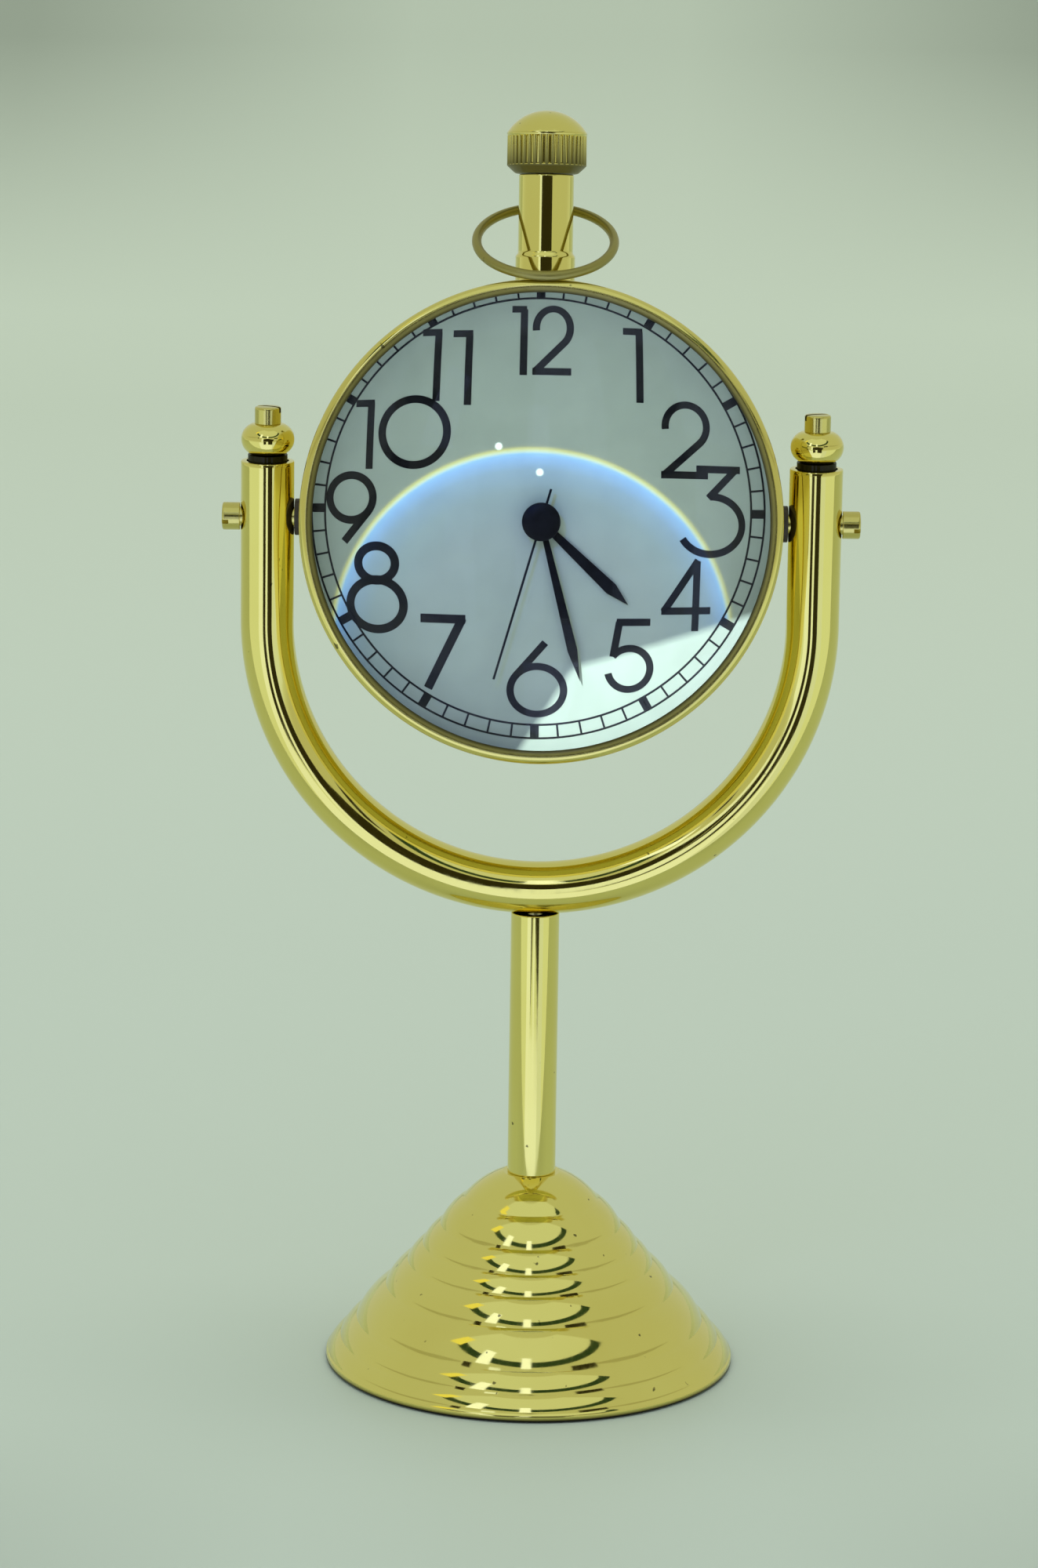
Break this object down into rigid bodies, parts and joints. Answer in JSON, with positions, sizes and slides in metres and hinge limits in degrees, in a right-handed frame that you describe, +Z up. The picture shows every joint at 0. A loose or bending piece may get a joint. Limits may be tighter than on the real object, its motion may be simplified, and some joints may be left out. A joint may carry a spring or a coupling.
{
  "type": "swivel table clock",
  "caption": "Polished brass table clock: a pocket-watch style head with a domed magnifying lens tilts between the posts of a bent tube yoke on a ridged, bell-shaped base.",
  "frame": {"origin": "middle of the base's underside, on the surface it stands on", "axes": "+Z up, the dial faces -Y, +X is to the viewer's right"},
  "size_m": [0.0944, 0.062, 0.1895],
  "materials": {
    "polished_brass": "polished and lacquered",
    "felt": "dark felt",
    "steel": "plain steel",
    "washer_fibre": "dark fibre",
    "lens_glass": "polished optical glass",
    "ring_black": "matt black",
    "dial_white": "matt printed white",
    "hand_black": "satin black paint",
    "holder_plastic": "moulded",
    "plate_brass": "plain brass",
    "motor_steel": "soft iron",
    "copper_wire": "enamelled copper wire",
    "board_green": "solder mask",
    "cell_steel": "nickel plate"
  },
  "bodies": {
    "stand": {"base_cone": "polished_brass", "base_pad": "felt", "base_washer": "steel", "base_nut": "steel", "tie_rod": "steel", "stem_tube": "polished_brass", "yoke_tube": "polished_brass", "post_plug_left": "polished_brass", "post_plug_right": "polished_brass", "finial_bead_left": "polished_brass", "finial_bead_right": "polished_brass", "finial_screw_left": "polished_brass", "finial_screw_right": "polished_brass"},
    "head": {"case_band": "polished_brass", "front_bezel": "polished_brass", "lens": "lens_glass", "dial_ring": "ring_black", "dial": "dial_white", "back_cover": "polished_brass", "pendant_neck": "polished_brass", "pivot_screw_left": "polished_brass", "pivot_screw_right": "polished_brass", "pivot_washer_left": "washer_fibre", "pivot_washer_right": "washer_fibre", "pivot_nut_left": "steel", "pivot_nut_right": "steel", "movement_holder": "holder_plastic", "main_plate": "plate_brass", "train_bridge": "plate_brass", "motor_stator": "motor_steel", "motor_coil": "copper_wire", "circuit_board": "board_green", "quartz_can": "cell_steel", "battery_cell": "cell_steel", "battery_clip": "steel"},
    "bow": {"bow": "polished_brass"},
    "pull_slide": {"setting_lever": "steel"},
    "crown": {"crown": "polished_brass", "setting_stem": "steel"},
    "rotor": {"motor_rotor": "motor_steel"},
    "intermediate": {"intermediate_wheel": "plate_brass"},
    "seconds": {"seconds_wheel": "plate_brass", "seconds_hand": "hand_black", "hub_cap": "hand_black"},
    "third": {"third_wheel": "plate_brass"},
    "minutes": {"centre_wheel": "plate_brass", "minute_hand": "hand_black"},
    "minute_wheel": {"minute_wheel": "plate_brass"},
    "hours": {"hour_wheel": "plate_brass", "hour_hand": "hand_black"},
    "setting_wheel": {"setting_wheel": "plate_brass"}
  },
  "joints": [
    {"name": "head_tilt", "type": "hinge", "parent": "stand", "child": "head", "pos_m": [0, 0, 0.1299], "axis": [-1, 0, 0], "range_deg": [-159, 141]},
    {"name": "bow_lift", "type": "hinge", "parent": "head", "child": "bow", "pos_m": [0, 0.01202, 0.17481], "axis": [-1, 0, 0], "range_deg": [0, 75]},
    {"name": "crown_pull", "type": "slide", "parent": "head", "child": "pull_slide", "axis": [0, 0.1564, 0.9877], "range_m": [0, 0.0012]},
    {"name": "crown_turn", "type": "hinge", "parent": "pull_slide", "child": "crown", "pos_m": [0, 0.00782, 0.17928], "axis": [0, 0.1564, 0.9877], "continuous": true},
    {"name": "seconds_turn", "type": "hinge", "parent": "head", "child": "seconds", "pos_m": [0, 0, 0.1299], "axis": [0, 0.9877, -0.1564], "continuous": true},
    {"name": "rotor_turn", "type": "hinge", "parent": "head", "child": "rotor", "pos_m": [0.00934, -0.00039, 0.12746], "axis": [0, 0.9877, -0.1564], "continuous": true},
    {"name": "intermediate_turn", "type": "hinge", "parent": "head", "child": "intermediate", "pos_m": [0.00654, 0.00037, 0.13225], "axis": [0, 0.9877, -0.1564], "continuous": true},
    {"name": "third_turn", "type": "hinge", "parent": "head", "child": "third", "pos_m": [-0.00639, -0.00036, 0.1276], "axis": [0, 0.9877, -0.1564], "continuous": true},
    {"name": "minute_turn", "type": "hinge", "parent": "head", "child": "minutes", "pos_m": [0, 0, 0.1299], "axis": [0, 0.9877, -0.1564], "continuous": true},
    {"name": "minute_wheel_turn", "type": "hinge", "parent": "head", "child": "minute_wheel", "pos_m": [0.00321, 0.0006, 0.13368], "axis": [0, 0.9877, -0.1564], "continuous": true},
    {"name": "hour_turn", "type": "hinge", "parent": "head", "child": "hours", "pos_m": [0, 0, 0.1299], "axis": [0, 0.9877, -0.1564], "continuous": true},
    {"name": "setting_wheel_turn", "type": "hinge", "parent": "head", "child": "setting_wheel", "pos_m": [0, 0.00144, 0.13898], "axis": [0, 0.9877, -0.1564], "continuous": true}
  ],
  "couplings": [
    {"joint": "rotor_turn", "follows": "seconds_turn", "ratio": 30},
    {"joint": "intermediate_turn", "follows": "seconds_turn", "ratio": -5},
    {"joint": "third_turn", "follows": "seconds_turn", "ratio": -0.13333},
    {"joint": "minute_turn", "follows": "seconds_turn", "ratio": 0.016667},
    {"joint": "minute_wheel_turn", "follows": "seconds_turn", "ratio": -0.0055556},
    {"joint": "hour_turn", "follows": "seconds_turn", "ratio": 0.0013889},
    {"joint": "setting_wheel_turn", "follows": "seconds_turn", "ratio": 0.0083333}
  ]
}
